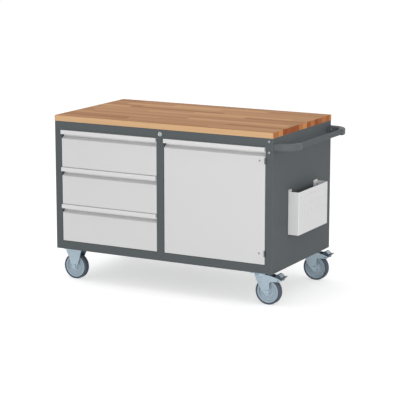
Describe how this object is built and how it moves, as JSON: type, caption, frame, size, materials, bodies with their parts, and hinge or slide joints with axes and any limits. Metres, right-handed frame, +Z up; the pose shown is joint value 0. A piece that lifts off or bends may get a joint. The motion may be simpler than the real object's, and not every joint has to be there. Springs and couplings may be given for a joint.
{
  "type": "mobile workbench with drawers",
  "caption": "Steel mobile workbench with a wooden worktop, a stack of full-width drawers, a hinged cupboard, a push handle, an open side box and castors with brakes.",
  "frame": {"origin": "on the floor, under the middle of the box that the bench, its push handle, the drawer grips and the rear screw heads fill", "axes": "+X along the bench towards the push handle, +Y from the fronts to the back, +Z up"},
  "size_m": [1.2626, 0.652, 0.806],
  "materials": {
    "housing": "semi-matt powder coat",
    "fronts": "semi-matt powder coat",
    "beech": "oiled",
    "tray": "semi-matt powder coat",
    "zinc": "bright zinc plate",
    "handle": "semi-matt powder coat",
    "nylon": "moulded",
    "tyre": "matt",
    "lock": "polished",
    "magnet": "moulded"
  },
  "bodies": {
    "cabinet": {"side_panel_left": "housing", "side_panel_right": "housing", "back_panel": "housing", "base_pan": "housing", "top_front_rail": "housing", "centre_partition": "housing", "runner_uprights": "housing", "worktop": "beech", "shelf": "housing", "shelf_clips": "zinc", "lock_barrel": "lock", "handle_tube": "handle", "handle_sockets": "handle", "pan_head_screws": "zinc", "side_box": "fronts", "runner_cabinet_1": "zinc", "runner_cabinet_2": "zinc", "runner_cabinet_3": "zinc", "hinge_frame_leaves": "zinc", "hinge_pins": "zinc", "door_catch": "magnet", "fixed_forks": "zinc", "fixed_axles": "zinc", "swivel_plates": "zinc", "caster_bolts": "zinc"},
    "lock_key_way": {"lock_rotor": "lock", "lock_cam": "zinc"},
    "lock_bar": {"lock_bar": "zinc"},
    "drawer_1": {"drawer_tray_1": "tray", "drawer_front_1": "fronts", "drawer_grip_1": "fronts", "runner_drawer_1": "zinc"},
    "runner_1": {"runner_middle_1": "zinc"},
    "drawer_2": {"drawer_tray_2": "tray", "drawer_front_2": "fronts", "drawer_grip_2": "fronts", "runner_drawer_2": "zinc"},
    "runner_2": {"runner_middle_2": "zinc"},
    "drawer_3": {"drawer_tray_3": "tray", "drawer_front_3": "fronts", "drawer_grip_3": "fronts", "runner_drawer_3": "zinc"},
    "runner_3": {"runner_middle_3": "zinc"},
    "door": {"door_panel": "fronts", "door_grip": "fronts", "hinge_door_leaves": "zinc"},
    "wheel_front_left": {"rim_front_left": "nylon", "tyre_front_left": "tyre"},
    "swivel_front": {"swivel_fork_front": "zinc", "swivel_axle_front": "zinc"},
    "wheel_front_right": {"rim_front_right": "nylon", "tyre_front_right": "tyre"},
    "brake_front": {"brake_pedal_front": "zinc"},
    "wheel_rear_left": {"rim_rear_left": "nylon", "tyre_rear_left": "tyre"},
    "swivel_rear": {"swivel_fork_rear": "zinc", "swivel_axle_rear": "zinc"},
    "wheel_rear_right": {"rim_rear_right": "nylon", "tyre_rear_right": "tyre"},
    "brake_rear": {"brake_pedal_rear": "zinc"}
  },
  "joints": [
    {"name": "lock_turn", "type": "hinge", "parent": "cabinet", "child": "lock_key_way", "pos_m": [-0.05125, -0.317, 0.757], "axis": [0, 1, 0], "range_deg": [0, 90]},
    {"name": "lock_bar_slide", "type": "slide", "parent": "cabinet", "child": "lock_bar", "axis": [0, 0, -1], "range_m": [0, 0.008]},
    {"name": "drawer_1_slide", "type": "slide", "parent": "cabinet", "child": "drawer_1", "axis": [0, -1, 0], "range_m": [0, 0.52]},
    {"name": "runner_1_slide", "type": "slide", "parent": "cabinet", "child": "runner_1", "axis": [0, -1, 0], "range_m": [0, 0.26]},
    {"name": "drawer_2_slide", "type": "slide", "parent": "cabinet", "child": "drawer_2", "axis": [0, -1, 0], "range_m": [0, 0.52]},
    {"name": "runner_2_slide", "type": "slide", "parent": "cabinet", "child": "runner_2", "axis": [0, -1, 0], "range_m": [0, 0.26]},
    {"name": "drawer_3_slide", "type": "slide", "parent": "cabinet", "child": "drawer_3", "axis": [0, -1, 0], "range_m": [0, 0.52]},
    {"name": "runner_3_slide", "type": "slide", "parent": "cabinet", "child": "runner_3", "axis": [0, -1, 0], "range_m": [0, 0.26]},
    {"name": "door_hinge", "type": "hinge", "parent": "cabinet", "child": "door", "pos_m": [0.49175, -0.319, 0.467], "axis": [0, 0, 1], "range_deg": [0, 110]},
    {"name": "wheel_front_left_spin", "type": "hinge", "parent": "cabinet", "child": "wheel_front_left", "pos_m": [-0.55425, -0.26, 0.0625], "axis": [0, 1, 0], "continuous": true},
    {"name": "swivel_front_turn", "type": "hinge", "parent": "cabinet", "child": "swivel_front", "pos_m": [0.44875, -0.26, 0.14], "axis": [0, 0, 1], "continuous": true},
    {"name": "wheel_front_right_spin", "type": "hinge", "parent": "swivel_front", "child": "wheel_front_right", "pos_m": [0.48675, -0.26, 0.0625], "axis": [0, 1, 0], "continuous": true},
    {"name": "brake_front_press", "type": "hinge", "parent": "swivel_front", "child": "brake_front", "pos_m": [0.54225, -0.26, 0.12025], "axis": [0, 1, 0], "range_deg": [0, 15]},
    {"name": "wheel_rear_left_spin", "type": "hinge", "parent": "cabinet", "child": "wheel_rear_left", "pos_m": [-0.55425, 0.266, 0.0625], "axis": [0, 1, 0], "continuous": true},
    {"name": "swivel_rear_turn", "type": "hinge", "parent": "cabinet", "child": "swivel_rear", "pos_m": [0.44875, 0.266, 0.14], "axis": [0, 0, 1], "continuous": true},
    {"name": "wheel_rear_right_spin", "type": "hinge", "parent": "swivel_rear", "child": "wheel_rear_right", "pos_m": [0.48675, 0.266, 0.0625], "axis": [0, 1, 0], "continuous": true},
    {"name": "brake_rear_press", "type": "hinge", "parent": "swivel_rear", "child": "brake_rear", "pos_m": [0.54225, 0.266, 0.12025], "axis": [0, 1, 0], "range_deg": [0, 15]}
  ],
  "couplings": [
    {"joint": "lock_turn", "follows": "lock_bar_slide", "rad_per_m": 196.35},
    {"joint": "runner_1_slide", "follows": "drawer_1_slide", "ratio": 0.5},
    {"joint": "runner_2_slide", "follows": "drawer_2_slide", "ratio": 0.5},
    {"joint": "runner_3_slide", "follows": "drawer_3_slide", "ratio": 0.5}
  ]
}
